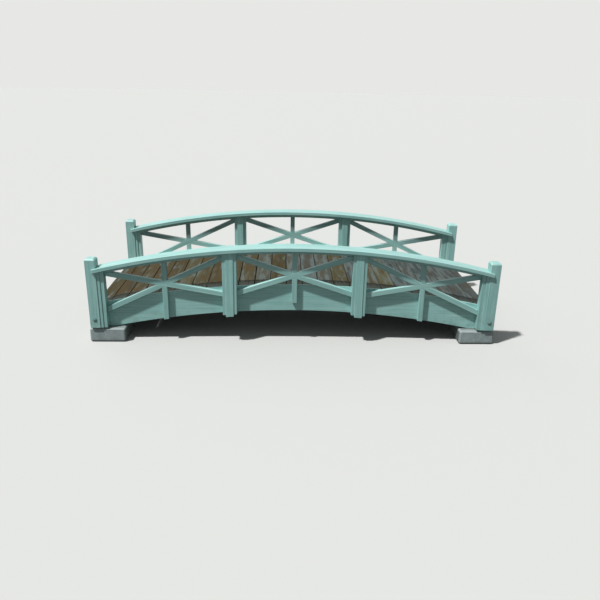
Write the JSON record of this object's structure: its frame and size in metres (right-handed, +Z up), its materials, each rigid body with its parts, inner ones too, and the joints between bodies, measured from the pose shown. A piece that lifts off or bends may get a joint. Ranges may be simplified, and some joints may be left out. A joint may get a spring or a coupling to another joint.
{
  "type": "arched timber footbridge",
  "caption": "Low arched garden footbridge in painted timber, with a plank deck, cross-braced railings under flat curved handrails, and a stone sill block at each end.",
  "frame": {"origin": "at mid-span, on the level that the sill blocks stand on", "axes": "+X along the bridge towards its right-hand end in the picture, +Y across it away from the viewer, +Z up"},
  "size_m": [3.7, 1.64, 0.909],
  "materials": {
    "painted_timber": "satin blue-green exterior paint on planed softwood",
    "deck_timber": "bare weathered softwood planks",
    "frame_timber": "bare sawn softwood",
    "sill_stone": "sawn grey stone, matt"
  },
  "bodies": {
    "root": {"sill_left": "sill_stone", "sill_right": "sill_stone", "beam_front": "painted_timber", "beam_middle": "frame_timber", "beam_back": "painted_timber", "spreaders": "frame_timber", "deck_left": "deck_timber", "deck_middle": "deck_timber", "deck_right": "deck_timber", "handrail_front": "painted_timber", "handrail_back": "painted_timber", "subrails_front": "painted_timber", "subrails_back": "painted_timber", "end_post_front_left": "painted_timber", "end_post_front_right": "painted_timber", "end_post_back_left": "painted_timber", "end_post_back_right": "painted_timber", "end_post_strips": "painted_timber", "bay_strips": "painted_timber", "mid_post_front_left": "painted_timber", "mid_post_front_right": "painted_timber", "mid_post_back_left": "painted_timber", "mid_post_back_right": "painted_timber", "mid_post_battens": "painted_timber", "inner_posts": "painted_timber", "rising_brace_front_left": "painted_timber", "falling_brace_front_left": "painted_timber", "rising_brace_front_middle": "painted_timber", "falling_brace_front_middle": "painted_timber", "rising_brace_front_right": "painted_timber", "falling_brace_front_right": "painted_timber", "rising_brace_back_left": "painted_timber", "falling_brace_back_left": "painted_timber", "rising_brace_back_middle": "painted_timber", "falling_brace_back_middle": "painted_timber", "rising_brace_back_right": "painted_timber", "falling_brace_back_right": "painted_timber", "uprights_front_left": "painted_timber", "uprights_front_middle": "painted_timber", "uprights_front_right": "painted_timber", "uprights_back_left": "painted_timber", "uprights_back_middle": "painted_timber", "uprights_back_right": "painted_timber"}
  },
  "joints": []
}
